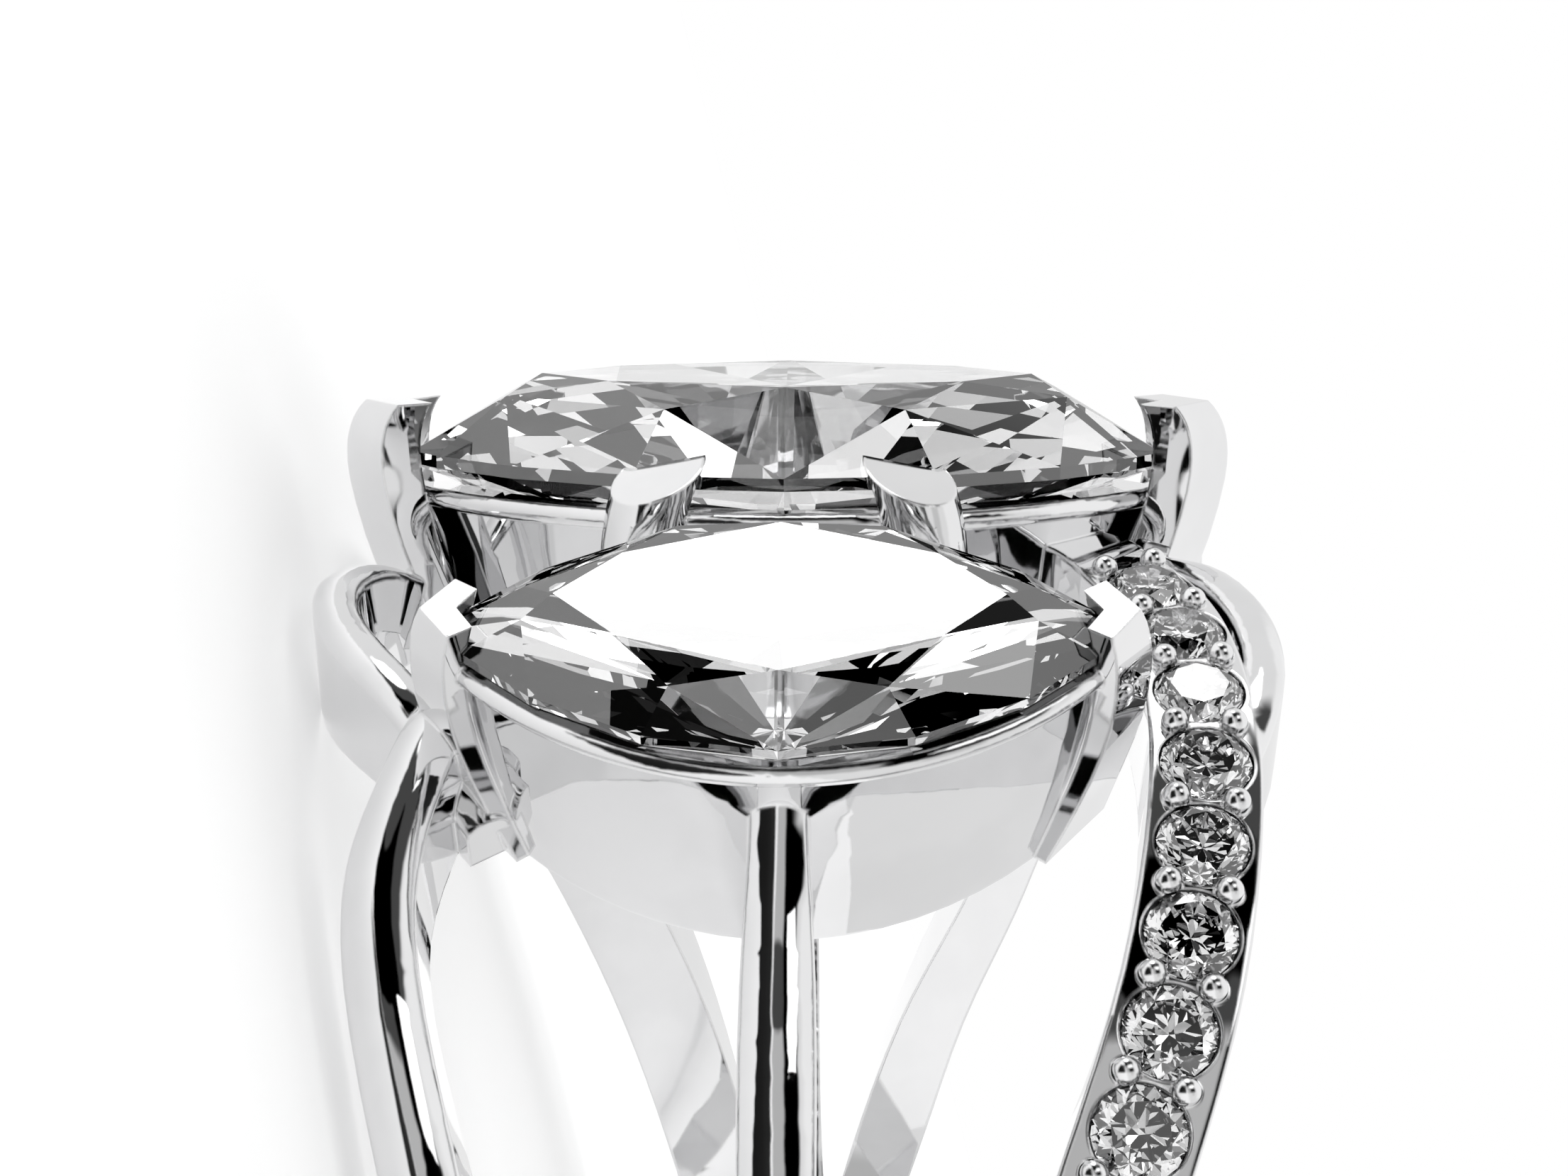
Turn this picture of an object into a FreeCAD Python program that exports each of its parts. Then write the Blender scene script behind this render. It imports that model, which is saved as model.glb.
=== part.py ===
import FreeCAD, Part
import itertools
import math
import os
from collections import namedtuple

Vector = FreeCAD.Vector
Rotation = FreeCAD.Rotation
Placement = FreeCAD.Placement

# A split shank ring: one cast metal mount that carries three marquise stones and two pavé
# branches. It is drawn upright first, in the ring's own frame: X along the finger, Z up
# through the centre stone, the origin at the middle of the finger hole. Every sub-part then
# gets the same placement, which lays the ring on its side on three points.
# The far half of the ring is the near half turned half a turn about Z.

# Driving sizes, in millimetres and degrees
SIZES = (
    ("finger_radius", 8.4, "radius of the finger hole"),
    ("shank_radius", 10.04, "radius of the outer face of the shank"),
    ("seat_gap", 0.02, "play between a stone and the metal that holds it"),
    ("centre_half_length", 5.0, "centre stone, half its length"),
    ("centre_half_width", 2.5, "centre stone, half its width"),
    ("centre_crown", 1.05, "centre stone, girdle to table"),
    ("centre_pavilion", 2.05, "centre stone, girdle to culet"),
    ("centre_height", 10.91, "girdle of the centre stone above the finger axis"),
    ("side_half_length", 3.95, "side stone, half its length"),
    ("side_half_width", 1.95, "side stone, half its width"),
    ("side_crown", 0.58, "side stone, girdle to table"),
    ("side_pavilion", 1.65, "side stone, girdle to culet"),
    ("side_height", 11.2, "girdle of a side stone from the finger axis"),
    ("side_angle", 30.5, "lean of a side stone from the centre stone"),
    ("girdle_share", 0.065, "girdle thickness over the stone's half width"),
    ("table_share", 0.65, "table over girdle"),
    ("star_share", 0.80, "lower corner of a star facet, over the girdle"),
    ("half_share", 0.27, "upper corner of a lower half facet, over the girdle"),
    ("pave_radius", 0.53, "pavé stone, radius"),
    ("pave_crown", 0.17, "pavé stone, girdle to table"),
    ("pave_pavilion", 0.45, "pavé stone, girdle to culet"),
    ("pave_pitch", 1.16, "step from one pavé stone to the next"),
    ("pave_sink", 0.05, "girdle of a pavé stone below the face of its branch"),
    ("bead_radius", 0.165, "round bead that grips a pavé stone"),
    ("bead_offset", 0.34, "bead centre from the middle of its branch"),
    ("bead_lift", 0.06, "bead centre above the face of its branch"),
    ("claw_radius", 0.54, "round claw of the centre stone"),
    ("bury", 0.3, "how far raw metal runs into the finger hole before it is bored"),
)

# Ribbons of metal between the finger hole and the outer face. Angle is measured round the
# finger axis from the top towards the near side, centre is the middle of the ribbon along X,
# sink is how far its face lies under the shank's outer face.
Ribbon = namedtuple("Ribbon", "angle centre width sink")
PLAIN_BRANCH = (
    Ribbon(29, -3.80, 0.74, 0.00),
    Ribbon(34, -4.18, 0.76, 0.00),
    Ribbon(40, -4.40, 0.80, 0.00),
    Ribbon(47, -4.46, 0.84, 0.00),
    Ribbon(55, -4.22, 0.85, 0.00),
    Ribbon(64, -3.82, 0.86, 0.00),
    Ribbon(74, -3.36, 0.90, 0.00),
    Ribbon(85, -2.66, 0.98, 0.00),
    Ribbon(95, -2.07, 1.08, 0.00),
    Ribbon(105, -1.56, 1.10, 0.00),
    Ribbon(114, -1.15, 1.05, 0.04),
    Ribbon(122, -0.80, 0.95, 0.30),
)
MIDDLE_BRANCH = (
    Ribbon(37, 0.0, 0.60, -0.70),
    Ribbon(41, 0.0, 0.65, -0.60),
    Ribbon(44.5, 0.0, 0.72, -0.22),
    Ribbon(48, 0.0, 0.80, -0.04),
    Ribbon(53, 0.0, 0.86, 0.00),
    Ribbon(64, 0.0, 0.87, 0.00),
    Ribbon(78, 0.0, 0.88, 0.00),
    Ribbon(98, 0.0, 0.95, 0.00),
    Ribbon(114, 0.0, 1.20, 0.03),
    Ribbon(124, 0.0, 1.30, 0.30),
)
PAVE_BRANCH = (
    Ribbon(5, 3.70, 1.10, 0.00),
    Ribbon(10, 4.18, 1.14, 0.00),
    Ribbon(15.5, 4.55, 1.16, 0.00),
    Ribbon(22, 4.84, 1.20, 0.00),
    Ribbon(29, 4.93, 1.26, 0.00),
    Ribbon(36, 4.89, 1.30, 0.00),
    Ribbon(44, 4.70, 1.33, 0.00),
    Ribbon(52, 4.39, 1.36, 0.00),
    Ribbon(61, 3.88, 1.38, 0.00),
    Ribbon(71, 3.26, 1.40, 0.00),
    Ribbon(81, 2.64, 1.42, 0.00),
    Ribbon(91, 2.06, 1.42, 0.00),
    Ribbon(101, 1.56, 1.38, 0.00),
    Ribbon(112, 1.06, 1.30, 0.04),
    Ribbon(122, 0.65, 1.15, 0.30),
)
PLAIN_LOOP = (
    Ribbon(1, -4.85, 0.56, 0.75),
    Ribbon(6, -5.15, 0.58, 0.40),
    Ribbon(11, -5.45, 0.60, 0.10),
    Ribbon(15.5, -5.60, 0.60, 0.00),
    Ribbon(20, -5.44, 0.60, 0.00),
    Ribbon(24.5, -5.00, 0.60, 0.00),
    Ribbon(28.5, -4.45, 0.60, 0.10),
    Ribbon(32, -3.95, 0.58, 0.50),
    Ribbon(36, -3.45, 0.56, 1.00),
)
PAVE_LOOP = (
    Ribbon(4, 4.80, 0.50, 0.25),
    Ribbon(9, 5.14, 0.50, 0.12),
    Ribbon(14, 5.50, 0.50, 0.00),
    Ribbon(19, 5.74, 0.52, 0.00),
    Ribbon(24, 5.79, 0.52, 0.00),
    Ribbon(29, 5.64, 0.50, 0.00),
    Ribbon(34, 5.31, 0.50, 0.03),
    Ribbon(39, 4.90, 0.50, 0.10),
)
SHANK = (
    Ribbon(111, 0.0, 3.72, 0.03),
    Ribbon(122, 0.0, 3.56, 0.00),
    Ribbon(140, 0.0, 3.30, 0.00),
    Ribbon(160, 0.0, 3.08, 0.00),
    Ribbon(180, 0.0, 3.00, 0.00),
    Ribbon(200, 0.0, 3.08, 0.00),
    Ribbon(220, 0.0, 3.30, 0.00),
    Ribbon(238, 0.0, 3.56, 0.00),
    Ribbon(249, 0.0, 3.72, 0.03),
)

# Sections of a cup, a marquise sleeve under a stone, with heights from the stone's girdle
Cup = namedtuple("Cup", "height half_length half_width")
CENTRE_CUP = (Cup(-0.50, 4.86, 2.48), Cup(-1.70, 4.46, 2.24), Cup(-3.10, 4.02, 2.02))
SIDE_CUP = (Cup(-0.30, 3.88, 1.96), Cup(-1.80, 3.80, 1.95), Cup(-3.60, 3.56, 1.93))
CENTRE_HOLLOW = (Cup(0.30, 4.50, 2.20), Cup(-3.60, 3.20, 1.46))
SIDE_HOLLOW = (Cup(0.30, 3.42, 1.68), Cup(-3.90, 2.90, 1.42))
CENTRE_RIM = Cup(-0.49, 4.90, 2.50)
SIDE_RIM = Cup(-0.28, 3.92, 1.98)
RIM_RADIUS = 0.13

# A pointed prong is a chevron round a stone's tip. Reach is its outer edge from the stone's
# middle, run and spread lead from that edge to the end of an arm, inset is the arm end's
# width and throat the depth of the chevron at its edge.
Prong = namedtuple("Prong", "height reach run spread inset throat")
CENTRE_PRONG = (
    Prong(0.78, 5.60, 0.52, 0.70, 0.42, 0.62),
    Prong(0.44, 5.82, 0.55, 0.72, 0.46, 0.80),
    Prong(0.00, 5.88, 0.57, 0.74, 0.48, 0.92),
    Prong(-0.55, 5.80, 0.58, 0.76, 0.48, 0.94),
    Prong(-1.20, 5.62, 0.60, 0.78, 0.46, 0.92),
    Prong(-2.05, 5.27, 0.62, 0.80, 0.44, 0.90),
    Prong(-3.00, 4.86, 0.66, 0.84, 0.44, 0.90),
)
SIDE_PRONG = (
    Prong(0.42, 4.10, 0.36, 0.50, 0.27, 0.42),
    Prong(0.00, 4.24, 0.42, 0.54, 0.26, 0.54),
    Prong(-0.60, 4.29, 0.46, 0.58, 0.24, 0.62),
    Prong(-1.20, 4.25, 0.50, 0.62, 0.22, 0.62),
    Prong(-1.90, 4.11, 0.56, 0.70, 0.20, 0.60),
    Prong(-2.85, 3.88, 0.74, 0.88, 0.20, 0.60),
    Prong(-3.50, 3.70, 0.86, 1.00, 0.20, 0.60),
)
ARM_TAPER = 0.66

# A round claw bends inwards as it rises past the girdle, and its tip is cut on a slant
Claw = namedtuple("Claw", "height along across radius")
CLAW = (
    Claw(-2.10, 1.86, -2.42, 0.50),
    Claw(-1.10, 1.83, -2.45, 0.50),
    Claw(-0.40, 1.73, -2.46, 0.52),
    Claw(0.12, 1.58, -2.42, 0.54),
    Claw(0.80, 1.36, -2.34, 0.56),
)
CLAW_CUT = Claw(0.12, 1.58, -2.42, 0.54)
CLAW_CUT_LEAN = 24.0
CLAW_CUT_TURN = 12.0
CLAW_PLATE = 4.0

# The form of a ribbon's face: the radius of its corners, and of its crown over the half width
Form = namedtuple("Form", "corner crown")
BRANCH_FORM = Form(0.12, 1.32)
LOOP_FORM = Form(0.12, 1.50)
PAVE_FORM = Form(0.05, 60.0)
SHANK_FORM = Form(0.25, 6.0)

PAVE_STONES = 13

# A brilliant has 8 mains. Points nearer than this to a facet's plane are its corners.
MAINS = 8
FLATNESS = 1e-5

# The first guess of the direction that points up when the ring lies, and where it may touch
LYING_UP = Vector(0.97, 0, 0.23)
SHANK_ZONE = -5.0
HEAD_ZONE = 1.0
TOUCH_FINENESS = 0.02
TOUCH_ROUNDS = 8
PAVE_START = 2.04

doc = FreeCAD.newDocument("split_shank_ring")
sheet = doc.addObject("Spreadsheet::Sheet", "sizes")
for row, (alias, value, meaning) in enumerate(SIZES, start=1):
    sheet.set(f"A{row}", meaning)
    sheet.set(f"B{row}", str(value))
    sheet.setAlias(f"B{row}", alias)
doc.recompute()


def size(alias):
    """The value of a named cell of the sheet."""
    return float(getattr(sheet, alias))


def feature(name, shape, placement=None):
    """An object that holds a shape worked out here."""
    made = doc.addObject("Part::Feature", name)
    made.Shape = shape
    if placement:
        made.Placement = placement
    return made


# The near half and the far half of the ring
HALVES = (
    ("near", Placement(Vector(), Rotation(Vector(0, 0, 1), 0))),
    ("far", Placement(Vector(), Rotation(Vector(0, 0, 1), 180))),
)

# Each stone's own frame: X along the stone, Z out of the ring, the origin in its girdle
lean = math.radians(size("side_angle"))
SIDE_SEAT = Placement(
    Vector(0, -size("side_height") * math.sin(lean), size("side_height") * math.cos(lean)),
    Rotation(Vector(1, 0, 0), size("side_angle")),
)
CENTRE_SEAT = Placement(Vector(0, 0, size("centre_height")), Rotation())


def outward(angle):
    """The direction away from the finger axis at an angle from the top."""
    turn = math.radians(angle)
    return Vector(0, -math.sin(turn), math.cos(turn))


def centre_line(rows):
    """The curve along the middle of a ribbon's outer face."""
    points = [outward(row.angle) * size("shank_radius") + Vector(row.centre, 0, 0) for row in rows]
    curve = Part.BSplineCurve()
    curve.interpolate(points)
    return curve, points


def ribbon_section(point, along, up, row, form):
    """A closed outline across a ribbon: flat sides, round corners and a crowned face."""
    across = along.cross(up)
    across.normalize()
    half = row.width / 2
    floor = size("finger_radius") - size("shank_radius") - size("bury")
    crest = -row.sink
    # The crown's arc and each corner's arc touch on the line through both their centres
    radius = form.crown * half
    inset = half - form.corner
    slope = math.asin(inset / (radius - form.corner))
    low = crest - radius
    shoulder = low + (radius - form.corner) * math.cos(slope)
    halfway = (slope + math.pi / 2) / 2

    def at(side, rise):
        return point + across * side + up * rise

    def corner(side):
        outer = at(side * half, shoulder)
        middle_side = inset + form.corner * math.sin(halfway)
        middle = at(side * middle_side, shoulder + form.corner * math.cos(halfway))
        inner = at(side * radius * math.sin(slope), low + radius * math.cos(slope))
        return outer, middle, inner

    left, right = corner(-1), corner(1)
    sides = (
        Part.LineSegment(at(-half, floor), at(half, floor)),
        Part.LineSegment(at(half, floor), right[0]),
        Part.Arc(*right),
        Part.Arc(right[2], at(0, crest), left[2]),
        Part.Arc(left[2], left[1], left[0]),
        Part.LineSegment(left[0], at(-half, floor)),
    )
    return Part.Wire([side.toShape() for side in sides])


def ribbon(rows, form):
    """A ribbon of metal lofted through its rows."""
    curve, points = centre_line(rows)
    sections = []
    for row, point in zip(rows, points):
        along = curve.tangent(curve.parameter(point))[0]
        sections.append(ribbon_section(point, along, outward(row.angle), row, form))
    return Part.makeLoft(sections, True, False, False, 3)


def marquise(half_length, half_width, height):
    """The outline of two arcs that meet in a point at each end."""
    tips = (Vector(-half_length, 0, height), Vector(half_length, 0, height))
    near = Part.Arc(tips[0], Vector(0, -half_width, height), tips[1])
    far = Part.Arc(tips[1], Vector(0, half_width, height), tips[0])
    return Part.Wire([near.toShape(), far.toShape()])


def cup(rows):
    """A solid lofted through marquise outlines."""
    outlines = [marquise(row.half_length, row.half_width, row.height) for row in rows]
    return Part.makeLoft(outlines, True, False, False, 3)


def rim(row):
    """The rounded bead round the top of a cup."""
    outlines = []
    for step in range(5):
        turn = math.radians(-90 + 45 * step)
        out = RIM_RADIUS * math.cos(turn)
        rise = RIM_RADIUS * math.sin(turn)
        outlines.append(marquise(row.half_length + out, row.half_width + out, row.height + rise))
    return Part.makeLoft(outlines, True, False, False, 3)


def chevron_prong(rows):
    """A pointed prong at the +X tip of a stone."""
    outlines = []
    for row in rows:
        corners = (
            (row.reach, 0.0),
            (row.reach - row.run, row.spread),
            (row.reach - row.run - row.inset, row.spread - row.inset * ARM_TAPER),
            (row.reach - row.throat, 0.0),
            (row.reach - row.run - row.inset, row.inset * ARM_TAPER - row.spread),
            (row.reach - row.run, -row.spread),
            (row.reach, 0.0),
        )
        outlines.append(Part.makePolygon([Vector(x, y, row.height) for x, y in corners]))
    return Part.makeLoft(outlines, True, False, False, 3)


def round_claw():
    """A round claw with a slanted oval end, on the near side at +X."""
    outlines = []
    for row in CLAW:
        edge = Part.Circle(Vector(row.along, row.across, row.height), Vector(0, 0, 1), row.radius)
        outlines.append(Part.Wire([edge.toShape()]))
    body = Part.makeLoft(outlines, True, False, False, 3)
    plate = Part.makeBox(CLAW_PLATE, CLAW_PLATE, CLAW_PLATE, Vector(-CLAW_PLATE / 2, -CLAW_PLATE / 2, 0))
    turn = Rotation(Vector(0, 1, 0), CLAW_CUT_TURN) * Rotation(Vector(1, 0, 0), CLAW_CUT_LEAN)
    plate.Placement = Placement(Vector(CLAW_CUT.along, CLAW_CUT.across, CLAW_CUT.height), turn)
    return body.cut(plate)


def outline_point(half_length, half_width, step):
    """One of 16 points of a marquise, or of a circle where both halves are equal."""
    turn = math.pi * step / MAINS
    if half_length == half_width:
        return half_length * math.cos(turn), half_width * math.sin(turn)
    radius = (half_length ** 2 + half_width ** 2) / (2 * half_width)
    x = half_length * math.cos(turn)
    y = math.sqrt(radius ** 2 - x ** 2) - (radius - half_width)
    return x, math.copysign(max(y, 0.0), math.sin(turn))


def meet_height(share, inner):
    """How high two neighbouring mains meet at a share of the girdle, 1 at their inner end."""
    return (1 - share * math.cos(math.pi / MAINS)) / (1 - inner)


def hull_facets(points):
    """The flat facets of the convex body round a few points."""
    facets = {}
    for trio in itertools.combinations(range(len(points)), 3):
        first, second, third = [points[index] for index in trio]
        normal = (second - first).cross(third - first)
        if normal.Length < 1e-6:
            continue
        normal.normalize()
        rises = [normal.dot(point - first) for point in points]
        if min(rises) < -FLATNESS:
            normal = -normal
            rises = [-rise for rise in rises]
        if min(rises) < -FLATNESS:
            continue
        flat = tuple(index for index, rise in enumerate(rises) if rise < FLATNESS)
        facets[flat] = normal
    return facets


def brilliant(half_length, half_width, crown, pavilion, grow=0.0):
    """A brilliant cut: table, stars, bezels, upper and lower halves and mains, all convex."""
    girdle = size("girdle_share") * half_width / 2 + grow * 0.5
    table, star, half = size("table_share"), size("star_share"), size("half_share")
    crown += grow
    pavilion += grow
    rows = (
        (table, girdle + crown, 0, 2),
        (star, girdle + crown * meet_height(star, table), 1, 2),
        (1.0, girdle, 0, 1),
        (1.0, -girdle, 0, 1),
        (half, -girdle - pavilion * meet_height(half, 0), 1, 2),
    )
    points = [Vector(0, 0, -girdle - pavilion)]
    for share, height, start, stride in rows:
        for step in range(start, 2 * MAINS, stride):
            x, y = outline_point(half_length + grow, half_width + grow, step)
            points.append(Vector(x * share, y * share, height))
    faces = []
    for corners, normal in hull_facets(points).items():
        flat = [points[index] for index in corners]
        middle = sum(flat, Vector()) * (1 / len(flat))
        start = flat[0] - middle
        side = normal.cross(start)
        flat.sort(key=lambda point: math.atan2(side.dot(point - middle), start.dot(point - middle)))
        faces.append(Part.Face(Part.makePolygon(flat + [flat[0]])))
    return Part.Solid(Part.Shell(faces))


def pave_cutter():
    """The seat of a pavé stone: the round body that its facets touch, with the seat's play."""
    gap = size("seat_gap")
    radius = size("pave_radius")
    girdle = size("girdle_share") * radius / 2
    table, star = size("table_share"), size("star_share")
    profile = (
        Vector(0, 0, -girdle - size("pave_pavilion") - gap * 2),
        Vector(radius + gap, 0, -girdle - gap),
        Vector(radius + gap, 0, size("pave_sink") + gap),
        Vector(radius * star + gap, 0, girdle + size("pave_crown") * meet_height(star, table) + gap * 2),
        Vector(radius * table + gap, 0, girdle + size("pave_crown") + gap * 2),
        Vector(0, 0, girdle + size("pave_crown") + gap * 2),
    )
    face = Part.Face(Part.makePolygon(list(profile) + [profile[0]]))
    return face.revolve(Vector(), Vector(0, 0, 1), 360)


def pave_frames():
    """Where the pavé stones sit on the near branch, and where the bead pairs stand."""
    edge = centre_line(PAVE_BRANCH)[0].toShape()
    frames = []
    for step in range(2 * PAVE_STONES + 1):
        length = PAVE_START + (step - 1) * size("pave_pitch") / 2
        place = edge.getParameterByLength(length)
        point = edge.valueAt(place)
        along = edge.tangentAt(place)
        up = Vector(0, point.y, point.z)
        up.normalize()
        across = along.cross(up)
        turn = Rotation(across, along, up, "ZYX")
        frames.append(Placement(point, turn))
    return frames[1::2], frames[0::2]


# Arms of raw metal: the shank, the three branches of each half and their loops
RIBBONS = (
    ("plain_branch", PLAIN_BRANCH, BRANCH_FORM),
    ("middle_branch", MIDDLE_BRANCH, BRANCH_FORM),
    ("pave_branch", PAVE_BRANCH, PAVE_FORM),
    ("plain_loop", PLAIN_LOOP, LOOP_FORM),
    ("pave_loop", PAVE_LOOP, LOOP_FORM),
)
arms = [feature("shank", ribbon(SHANK, SHANK_FORM))]
for half, turn in HALVES:
    for name, rows, form in RIBBONS:
        arms.append(feature(f"{name}_{half}", ribbon(rows, form), turn))

# Cups, rims and prongs of the three heads
HEADS = (
    ("centre", CENTRE_SEAT, CENTRE_CUP, CENTRE_RIM, CENTRE_HOLLOW, CENTRE_PRONG),
    ("near", SIDE_SEAT, SIDE_CUP, SIDE_RIM, SIDE_HOLLOW, SIDE_PRONG),
    ("far", HALVES[1][1] * SIDE_SEAT, SIDE_CUP, SIDE_RIM, SIDE_HOLLOW, SIDE_PRONG),
)
heads = []
hollows = []
for head, seat, cup_rows, rim_row, hollow_rows, prong_rows in HEADS:
    heads.append(feature(f"cup_{head}", cup(cup_rows), seat))
    heads.append(feature(f"rim_{head}", rim(rim_row), seat))
    hollows.append(feature(f"hollow_{head}", cup(hollow_rows), seat))
    for end, turn in HALVES:
        heads.append(feature(f"prong_{head}_{end}", chevron_prong(prong_rows), seat * turn))
for index in range(4):
    claw = round_claw()
    if index % 2:
        claw = claw.mirror(Vector(), Vector(1, 0, 0))
    heads.append(feature(f"claw_{index + 1}", claw, HALVES[index // 2][1] * CENTRE_SEAT))

# The mount is fused, bored for the finger and hollowed under the stones
arm_metal = doc.addObject("Part::MultiFuse", "arm_metal")
arm_metal.Shapes = arms
head_metal = doc.addObject("Part::MultiFuse", "head_metal")
head_metal.Shapes = heads
metal = doc.addObject("Part::Fuse", "raw_metal")
metal.Base = arm_metal
metal.Tool = head_metal
bore = doc.addObject("Part::Cylinder", "finger_bore")
bore.setExpression("Radius", "sizes.finger_radius")
bore.setExpression("Height", "sizes.finger_radius * 2")
bore.Placement = Placement(Vector(-size("finger_radius"), 0, 0), Rotation(Vector(0, 1, 0), 90))
inside = doc.addObject("Part::MultiFuse", "inside")
inside.Shapes = hollows + [bore]
bored = doc.addObject("Part::Cut", "bored_metal")
bored.Base = metal
bored.Tool = inside
doc.recompute()

# Beads stand in pairs between the pavé stones
stone_frames, bead_frames = pave_frames()
beads = []
for half, turn in HALVES:
    for index, frame in enumerate(bead_frames):
        for side in (-1, 1):
            bead = doc.addObject("Part::Sphere", f"bead_{half}_{index + 1}_{'ab'[side > 0]}")
            bead.setExpression("Radius", "sizes.bead_radius")
            offset = Placement(Vector(side * size("bead_offset"), 0, size("bead_lift")), Rotation())
            bead.Placement = turn * frame * offset
            beads.append(bead)
beaded = doc.addObject("Part::MultiFuse", "beaded_metal")
beaded.Shapes = [bored] + beads

# The stones, and the seats that they leave in the metal
cuts = {
    "centre": [size(f"centre_{name}") for name in ("half_length", "half_width", "crown", "pavilion")],
    "side": [size(f"side_{name}") for name in ("half_length", "half_width", "crown", "pavilion")],
    "pave": [size(f"pave_{name}") for name in ("radius", "radius", "crown", "pavilion")],
}
STONES = [("centre_stone", "centre", CENTRE_SEAT)]
for half, turn in HALVES:
    STONES.append((f"side_stone_{half}", "side", turn * SIDE_SEAT))
    for index, frame in enumerate(stone_frames):
        sunk = Placement(Vector(0, 0, -size("pave_sink")), Rotation())
        STONES.append((f"pave_stone_{half}_{index + 1:02d}", "pave", turn * frame * sunk))
seats = []
for name, kind, place in STONES:
    if kind == "pave":
        shape = pave_cutter()
    else:
        shape = brilliant(*cuts[kind], grow=size("seat_gap"))
    seats.append(feature(f"seat_of_{name}", shape, place))
mount = doc.addObject("Part::Cut", "ring_mount")
mount.Label = "ring_mount"
mount.Base = beaded
mount.Tool = feature("all_seats", Part.makeCompound([seat.Shape for seat in seats]))
doc.recompute()

parts = [mount]
for name, kind, place in STONES:
    stone = feature(name, brilliant(*cuts[kind]), place)
    stone.Label = name
    parts.append(stone)
doc.recompute()


def resting_placement(shapes):
    """Lay the ring on its -X side, on the three lowest points of shank, near and far side."""
    points = [point for shape in shapes for point in shape.tessellate(TOUCH_FINENESS)[0]]
    zones = (
        [point for point in points if point.z < SHANK_ZONE],
        [point for point in points if point.z > 0 and point.y < -HEAD_ZONE],
        [point for point in points if point.z > 0 and point.y > HEAD_ZONE],
    )
    up = LYING_UP
    for _ in range(TOUCH_ROUNDS):
        foot, near, far = [min(zone, key=up.dot) for zone in zones]
        up = (near - foot).cross(far - foot)
        up.normalize()
        if up.x < 0:
            up = -up
    along = Vector(0, 1, 0).cross(up)
    along.normalize()
    back = up.cross(along)
    turn = Rotation(along, back, up, "ZXY").inverted()
    turned = [turn.multVec(point) for point in points]
    low = Vector(*(min(point[axis] for point in turned) for axis in range(3)))
    high = Vector(*(max(point[axis] for point in turned) for axis in range(3)))
    middle = (low + high) * 0.5
    print("touches at", foot, near, far, "box", high - low)
    return Placement(Vector(-middle.x, -middle.y, -low.z), turn)


laid = resting_placement([part.Shape for part in parts])
for part in parts:
    part.Placement = laid * part.Placement
doc.recompute()

faults = [item.Name for item in doc.Objects if {"Invalid", "Error"} & set(item.State)]
faults += [part.Label for part in parts if part.Shape.isNull() or not part.Shape.isValid()]
if faults:
    raise RuntimeError("not built: " + ", ".join(faults))

os.makedirs("parts", exist_ok=True)
for part in parts:
    part.Shape.exportStep(f"parts/{part.Label}.step")
print("placement", laid)
print("metal volume", round(mount.Shape.Volume, 2), "solids", len(mount.Shape.Solids))
print("stone volume", round(sum(part.Shape.Volume for part in parts[1:]), 3), "stones", len(parts) - 1)
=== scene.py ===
import math
from collections import namedtuple

import bpy
from mathutils import Matrix, Vector

# A split shank ring in polished white metal, lying on its side. The picture holds it upright,
# so the camera is placed from the ring's own directions and turned with them.

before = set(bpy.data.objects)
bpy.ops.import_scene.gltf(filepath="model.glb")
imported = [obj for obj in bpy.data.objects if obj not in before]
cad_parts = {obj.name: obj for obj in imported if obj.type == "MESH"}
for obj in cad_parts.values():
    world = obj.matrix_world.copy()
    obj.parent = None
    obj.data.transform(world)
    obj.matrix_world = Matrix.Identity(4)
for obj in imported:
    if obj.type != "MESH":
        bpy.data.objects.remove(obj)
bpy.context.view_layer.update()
scene = bpy.context.scene

MM = 0.001

# The ring's own directions and the middle of its finger hole in millimetres, as it lies
FINGER_AXIS = Vector((0.24243, -0.04137, 0.96929))
AWAY = Vector((0.0, 0.99909, 0.04264))
TOP = Vector((-0.97017, -0.01034, 0.24221))
HOLE_CENTRE = Vector((1.36750, 0.00068, 3.86009))

# The camera, from the middle of the finger hole: millimetres and degrees
CAMERA_ALONG = 0.48
CAMERA_AWAY = -37.14
CAMERA_ABOVE = 16.13
CAMERA_PITCH = 10.66
CAMERA_YAW = -0.79
LENS = 64.4
SENSOR = 36.0
CLIP_START = 1 * MM
CLIP_END = 20

# The table in metres, and its faint glow
TABLE_HALF_SIDE = 3.0
TABLE_PALE = (0.95, 0.95, 0.95, 1)
TABLE_DEEP = (0.93, 0.93, 0.93, 1)
TABLE_CLOUDS = 40.0
TABLE_ROUGHNESS = 0.8
TABLE_GLOW = 0.30

# The card's near and far edge: from the hole towards the camera, then from low to high
CARD_EDGES = ((11.5, 6.0, 24.0), (60.0, 12.0, 110.0))
CARD_HEIGHT = 0.05
CARD_BLACK = (0.01, 0.01, 0.01, 1)
CARD_CLOUDS = 60.0
MATT_SPECULAR = 0.1

# The key light: its place from the hole in the ring's own frame, its side and its power
KEY_PLACE = (60, -60, 90)
KEY_SIDE = 40
KEY_POWER = 0.010

# Faint clouds of colour and roughness: their scale, both colours and both roughnesses
Clouds = namedtuple("Clouds", "size pale deep least most")
METAL_CLOUDS = Clouds(700.0, (0.80, 0.80, 0.805, 1), (0.77, 0.77, 0.775, 1), 0.015, 0.03)
LARGE_STONE_CLOUDS = Clouds(500.0, (1, 1, 1, 1), (0.985, 0.985, 0.99, 1), 0.0, 0.002)
SMALL_STONE_CLOUDS = LARGE_STONE_CLOUDS._replace(size=1500.0)
METAL_EDGE_RADIUS = 0.06 * MM
STONE_IOR = 2.42

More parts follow.
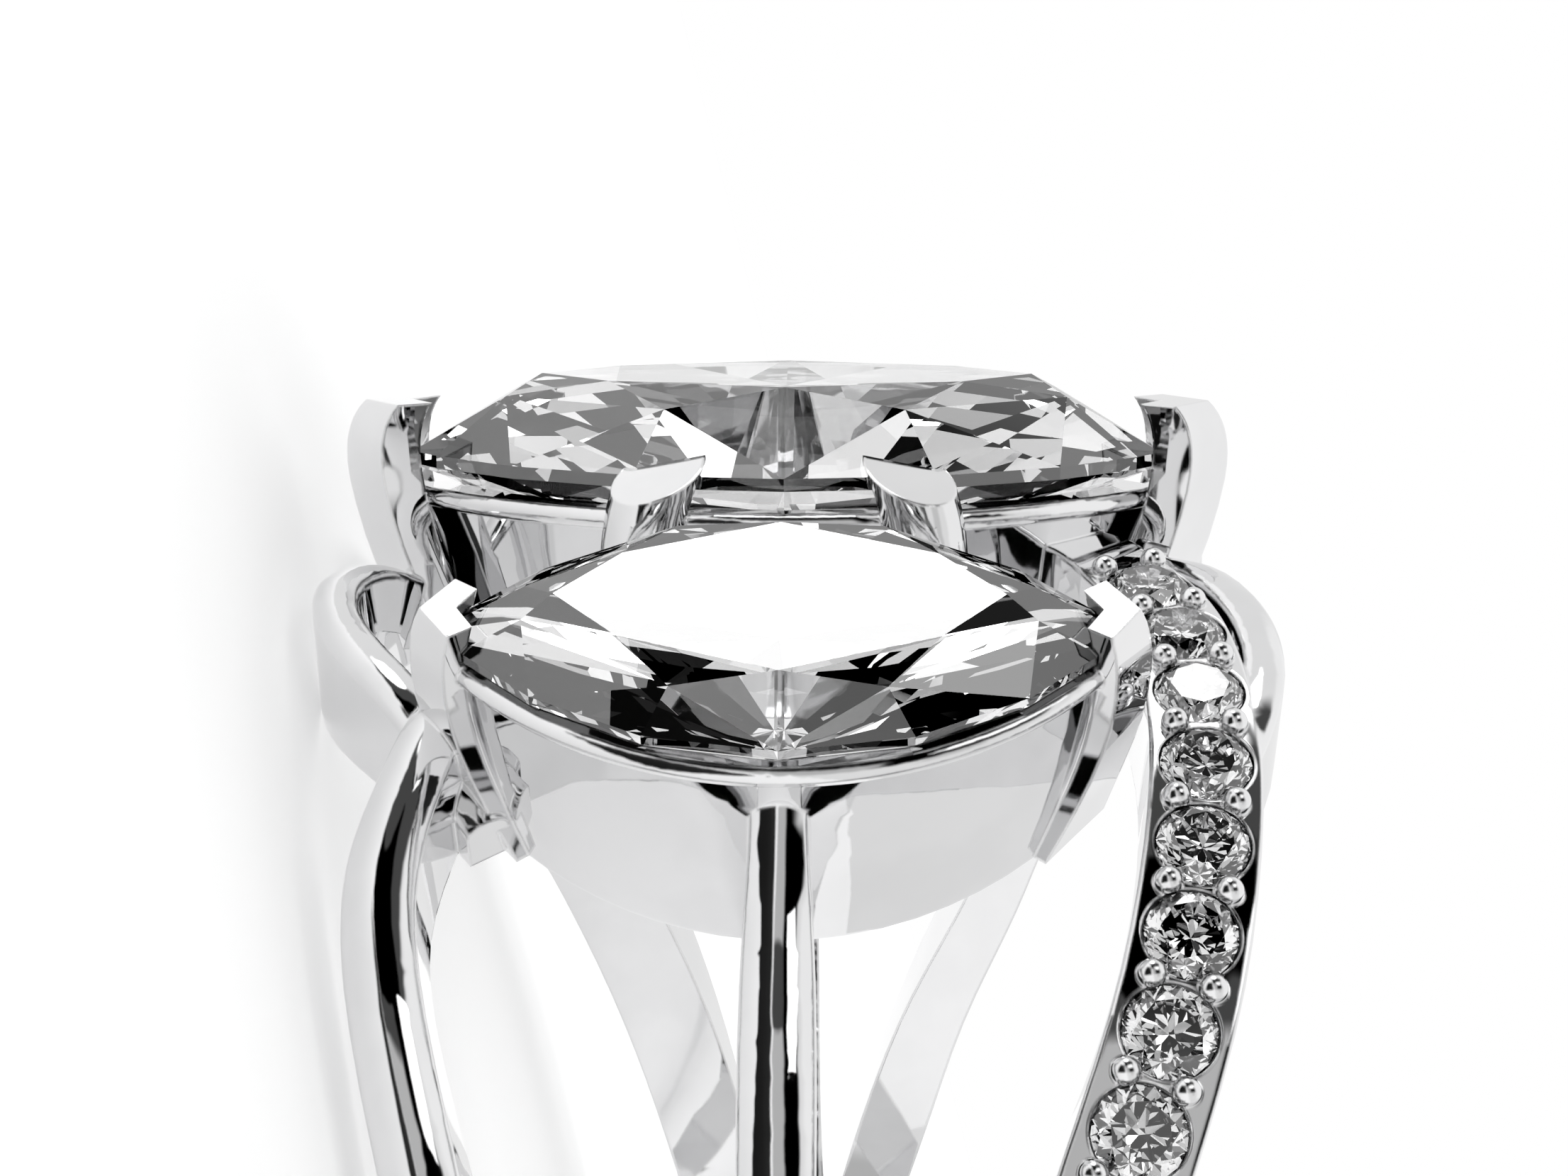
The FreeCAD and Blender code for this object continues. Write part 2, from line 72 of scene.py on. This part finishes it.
# Patches of the studio in degrees: from inner to outer edge aside of the camera's direction on
# either side, from bottom to top, and half the width of each soft edge. A negative inner edge
# takes in the middle.
Patch = namedtuple("Patch", "inner outer bottom top side_blur level_blur")
WHITE_SIDES = Patch(70, 150, -35, 47, 5, 4)
DARK_FRAME = Patch(-10, 60, 8, 80, 3, 3)
GREY_PANEL = Patch(-10, 20, -40, 56, 3, 2)
LOW_SHADE = Patch(32, 50, -14, 8, 3, 3)
WHITE_SIDES_GAIN = 0.15
GREY_PANEL_SHARE = 0.62
LOW_SHADE_DEPTH = 0.25

# The ground brightens from straight down to the rise where it ends
GROUND_RISE = (-90, -20)
GROUND_LIGHT = (0.84, 0.88)

# The dark ceiling: where it starts, and its far edge as a share of the camera's direction
CEILING_RISE = (47, 52)
CEILING_EDGE = (-0.30, -0.15)
CEILING_DEPTH = 0.92

# The soft box above the far side: its rise, its soft edge from out to in, and its strength
BOX_RISE = 75
BOX_EDGE = (12, 9)
BOX_LIGHT = 4.5


def ring_direction(along, away, up):
    """A direction given in the ring's own frame, as it lies."""
    return FINGER_AXIS * along + AWAY * away + TOP * up


def picture_axes():
    """The picture's right, its up and the camera's view, as the ring lies."""
    pitch, yaw = math.radians(CAMERA_PITCH), math.radians(CAMERA_YAW)
    view = ring_direction(
        math.sin(yaw) * math.cos(pitch), math.cos(yaw) * math.cos(pitch), -math.sin(pitch)
    ).normalized()
    right = ring_direction(math.cos(yaw), -math.sin(yaw), 0).normalized()
    return right, right.cross(view).normalized(), view


def make_camera():
    """The camera at the photograph's angle to the ring."""
    right, up, view = picture_axes()
    place = HOLE_CENTRE + ring_direction(CAMERA_ALONG, CAMERA_AWAY, CAMERA_ABOVE)
    lens = bpy.data.cameras.new("portrait_camera")
    lens.sensor_width = SENSOR
    lens.lens = LENS
    lens.clip_start = CLIP_START
    lens.clip_end = CLIP_END
    camera = bpy.data.objects.new("portrait_camera", lens)
    scene.collection.objects.link(camera)
    turn = Matrix((right, up, -view)).transposed()
    camera.matrix_world = Matrix.Translation(place * MM) @ turn.to_4x4()
    scene.camera = camera


class Graph:
    """A node tree that is filled by short calls."""

    def __init__(self, tree):
        self.tree = tree

    def add(self, kind, inputs=(), **settings):
        """A node with its settings, its inputs set or linked by name or index."""
        node = self.tree.nodes.new("ShaderNode" + kind)
        for name, value in settings.items():
            setattr(node, name, value)
        for key, value in dict(inputs).items():
            self.feed(node.inputs[key], value)
        return node

    def feed(self, socket, value):
        """Set a socket, or link it where the value is another socket."""
        if isinstance(value, bpy.types.NodeSocket):
            self.tree.links.new(value, socket)
        else:
            socket.default_value = value

    def math(self, operation, first, second=0.0):
        """The result of one sum."""
        return self.add("Math", {0: first, 1: second}, operation=operation).outputs[0]

    def ramp(self, value, low, high, at_low=0.0, at_high=1.0):
        """A smooth step from one value to another."""
        wanted = {"Value": value, "From Min": low, "From Max": high}
        wanted |= {"To Min": at_low, "To Max": at_high}
        return self.add("MapRange", wanted, interpolation_type="SMOOTHSTEP").outputs[0]

    def blend(self, share, first, second):
        """A mix of two colours. A mix node's colours are its inputs 6 and 7 and its output 2."""
        mix = self.add("Mix", {0: share}, data_type="RGBA")
        self.feed(mix.inputs[6], first)
        self.feed(mix.inputs[7], second)
        return mix.outputs[2]

    def noise(self, where, scale, detail):
        """The value of soft noise."""
        wanted = {"Vector": where, "Scale": scale, "Detail": detail}
        return self.add("TexNoise", wanted).outputs[0]


def effect(name, inputs, outputs):
    """An empty node group with named inputs and outputs."""
    tree = bpy.data.node_groups.new(name, "ShaderNodeTree")
    for label, kind, value in inputs:
        socket = tree.interface.new_socket(label, in_out="INPUT", socket_type=kind)
        socket.default_value = value
    for label, kind in outputs:
        tree.interface.new_socket(label, in_out="OUTPUT", socket_type=kind)
    entry = tree.nodes.new("NodeGroupInput")
    leave = tree.nodes.new("NodeGroupOutput")
    return Graph(tree), entry.outputs, leave.inputs


def fine_variation():
    """Faint clouds of colour and gloss over a polished surface or inside a stone."""
    graph, given, made = effect(
        "fine_variation",
        (
            ("Cloud Size", "NodeSocketFloat", METAL_CLOUDS.size),
            ("Pale", "NodeSocketColor", METAL_CLOUDS.pale),
            ("Deep", "NodeSocketColor", METAL_CLOUDS.deep),
            ("Least Roughness", "NodeSocketFloat", METAL_CLOUDS.least),
            ("Most Roughness", "NodeSocketFloat", METAL_CLOUDS.most),
        ),
        (("Color", "NodeSocketColor"), ("Roughness", "NodeSocketFloat")),
    )
    where = graph.add("TexCoord").outputs["Object"]
    cloud = graph.noise(where, given["Cloud Size"], 3.0)
    share = graph.ramp(cloud, 0.35, 0.65)
    graph.feed(made["Color"], graph.blend(share, given["Deep"], given["Pale"]))
    spread = graph.math("SUBTRACT", given["Most Roughness"], given["Least Roughness"])
    extra = graph.math("MULTIPLY", spread, share)
    graph.feed(made["Roughness"], graph.math("ADD", given["Least Roughness"], extra))
    return graph.tree


def polished_edge():
    """A normal that rounds sharp edges."""
    graph, given, made = effect(
        "polished_edge",
        (("Edge Radius", "NodeSocketFloat", METAL_EDGE_RADIUS),),
        (("Normal", "NodeSocketVector"),),
    )
    rounded = graph.add("Bevel", {"Radius": given["Edge Radius"]}, samples=6)
    graph.feed(made["Normal"], rounded.outputs[0])
    return graph.tree


def new_material(name):
    """A material with only its surface shader and output."""
    material = bpy.data.materials.new(name)
    material.use_nodes = True
    return material, Graph(material.node_tree), material.node_tree.nodes["Principled BSDF"]


def add_clouds(graph, shader, variation, clouds):
    """Give a material its faint clouds of colour and roughness."""
    wanted = {
        "Cloud Size": clouds.size,
        "Pale": clouds.pale,
        "Deep": clouds.deep,
        "Least Roughness": clouds.least,
        "Most Roughness": clouds.most,
    }
    group = graph.add("Group", wanted, node_tree=variation)
    graph.feed(shader.inputs["Base Color"], group.outputs["Color"])
    graph.feed(shader.inputs["Roughness"], group.outputs["Roughness"])


def white_metal(variation, edge):
    """Mirror polished white metal."""
    material, graph, shader = new_material("mirror_white_metal")
    add_clouds(graph, shader, variation, METAL_CLOUDS)
    corner = graph.add("Group", {"Edge Radius": METAL_EDGE_RADIUS}, node_tree=edge)
    graph.feed(shader.inputs["Normal"], corner.outputs["Normal"])
    shader.inputs["Metallic"].default_value = 1.0
    return material


def clear_stone(name, variation, clouds):
    """A colourless cut stone with sharp facets."""
    material, graph, shader = new_material(name)
    add_clouds(graph, shader, variation, clouds)
    shader.inputs["Metallic"].default_value = 0.0
    shader.inputs["Transmission Weight"].default_value = 1.0
    shader.inputs["IOR"].default_value = STONE_IOR
    return material


def flat_piece(name, corners, material):
    """One flat face of the studio, from its corners in turn."""
    mesh = bpy.data.meshes.new(name)
    mesh.from_pydata(corners, [], [tuple(range(len(corners)))])
    mesh.materials.append(material)
    piece = bpy.data.objects.new(name, mesh)
    scene.collection.objects.link(piece)
    return piece


def pale_floor():
    """A wide pale table top under the ring, which glows faintly."""
    material, graph, shader = new_material("pale_table")
    where = graph.add("TexCoord").outputs["Object"]
    cloud = graph.noise(where, TABLE_CLOUDS, 2.0)
    graph.feed(shader.inputs["Base Color"], graph.blend(cloud, TABLE_DEEP, TABLE_PALE))
    shader.inputs["Roughness"].default_value = TABLE_ROUGHNESS
    shader.inputs["Specular IOR Level"].default_value = MATT_SPECULAR
    shader.inputs["Emission Color"].default_value = (1, 1, 1, 1)
    shader.inputs["Emission Strength"].default_value = TABLE_GLOW
    side = TABLE_HALF_SIDE
    corners = [(-side, -side, 0), (side, -side, 0), (side, side, 0), (-side, side, 0)]
    flat_piece("pale_floor", corners, material)


def dark_card():
    """A black card on the table before the ring, seen only in reflections and through stones."""
    material, graph, shader = new_material("black_card")
    where = graph.add("TexCoord").outputs["Object"]
    cloud = graph.noise(where, CARD_CLOUDS, 2.0)
    graph.feed(shader.inputs["Roughness"], graph.ramp(cloud, 0.3, 0.7, 0.7, 0.9))
    shader.inputs["Base Color"].default_value = CARD_BLACK
    shader.inputs["Specular IOR Level"].default_value = MATT_SPECULAR
    (near, near_low, near_high), (far, far_low, far_high) = CARD_EDGES
    corners = []
    for reach, above in ((near, near_low), (near, near_high), (far, far_high), (far, far_low)):
        place = HOLE_CENTRE + ring_direction(0, -reach, above)
        corners.append(Vector((place.x, place.y, CARD_HEIGHT)) * MM)
    card = flat_piece("dark_card", corners, material)
    card.visible_camera = False
    card.visible_diffuse = False
    card.visible_shadow = False


def studio():
    """A pale studio with a dark frame behind the camera, set to the ring's own directions."""
    world = bpy.data.worlds.new("white_studio")
    world.use_nodes = True
    world.node_tree.nodes.clear()
    scene.world = world
    graph = Graph(world.node_tree)
    look = graph.add("TexCoord").outputs["Generated"]

    def towards(axis):
        return graph.add("VectorMath", {0: look, 1: axis}, operation="DOT_PRODUCT").outputs["Value"]

    across, near, above = towards(FINGER_AXIS), towards(-AWAY), towards(TOP)
    level = graph.math("SQRT", graph.math("SUBTRACT", 1.0, graph.math("MULTIPLY", above, above)))
    aside = graph.math("ABSOLUTE", graph.math("ARCTAN2", across, near))
    rise = graph.math("ARCTAN2", above, level)

    def climb(edges, at_low=0.0, at_high=1.0):
        low, high = (math.radians(edge) for edge in edges)
        return graph.ramp(rise, low, high, at_low, at_high)

    def between(value, low, high, blur):
        low, high, blur = math.radians(low), math.radians(high), math.radians(blur)
        enter = graph.ramp(value, low - blur, low + blur)
        leave = graph.ramp(value, high - blur, high + blur, 1.0, 0.0)
        return graph.math("MULTIPLY", enter, leave)

    def patch(part, strength=1.0):
        sideways = between(aside, part.inner, part.outer, part.side_blur)
        upwards = between(rise, part.bottom, part.top, part.level_blur)
        return graph.math("MULTIPLY", graph.math("MULTIPLY", sideways, upwards), strength)

    # Pale all round, a little brighter to both sides
    ground = climb(GROUND_RISE, *GROUND_LIGHT)
    light = graph.math("ADD", ground, patch(WHITE_SIDES, WHITE_SIDES_GAIN))
    # A dark frame round the grey panel behind the camera, open below, and a dark ceiling
    panel = patch(GREY_PANEL, GREY_PANEL_SHARE)
    dark = graph.math("MULTIPLY", patch(DARK_FRAME), graph.math("SUBTRACT", 1.0, panel))
    ceiling = graph.math("MULTIPLY", climb(CEILING_RISE), graph.ramp(near, *CEILING_EDGE))
    dark = graph.math("MAXIMUM", dark, graph.math("MULTIPLY", ceiling, CEILING_DEPTH))
    dark = graph.math("MAXIMUM", dark, patch(LOW_SHADE, LOW_SHADE_DEPTH))
    light = graph.math("MULTIPLY", light, graph.math("SUBTRACT", 1.0, dark))
    # A strong soft box above the far side
    box_rise = math.radians(BOX_RISE)
    facing = towards(ring_direction(0, math.cos(box_rise), math.sin(box_rise)))
    outer, inner = (math.cos(math.radians(edge)) for edge in BOX_EDGE)
    light = graph.math("ADD", light, graph.ramp(facing, outer, inner, 0.0, BOX_LIGHT))
    # The background itself is white
    seen = graph.add("LightPath").outputs["Is Camera Ray"]
    strength = graph.add("Mix", {0: seen, 2: light, 3: 1.0}, data_type="FLOAT").outputs[0]
    glow = graph.add("Background", {"Color": (1, 1, 1, 1), "Strength": strength})
    graph.add("OutputWorld", {"Surface": glow.outputs[0]})


def key_light():
    """A square soft light that looks at the ring."""
    lamp = bpy.data.lights.new("key_light", "AREA")
    lamp.shape = "SQUARE"
    lamp.size = KEY_SIDE * MM
    lamp.energy = KEY_POWER
    light = bpy.data.objects.new("key_light", lamp)
    scene.collection.objects.link(light)
    offset = ring_direction(*KEY_PLACE)
    light.location = (HOLE_CENTRE + offset) * MM
    light.rotation_mode = "QUATERNION"
    light.rotation_quaternion = (-offset).to_track_quat("-Z", "Y")


def dress_nodes():
    """Give each node of the ring its finish."""
    variation = fine_variation()
    metal = white_metal(variation, polished_edge())
    small_stone = clear_stone("small_clear_stone", variation, SMALL_STONE_CLOUDS)
    large_stone = clear_stone("large_clear_stone", variation, LARGE_STONE_CLOUDS)
    for name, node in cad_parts.items():
        if name == "ring_mount":
            finish = metal
        elif name.startswith("pave_stone"):
            finish = small_stone
        else:
            finish = large_stone
        for slot in node.material_slots:
            slot.material = finish


make_camera()
studio()
pale_floor()
dark_card()
key_light()
dress_nodes()
scene.view_settings.view_transform = "Standard"
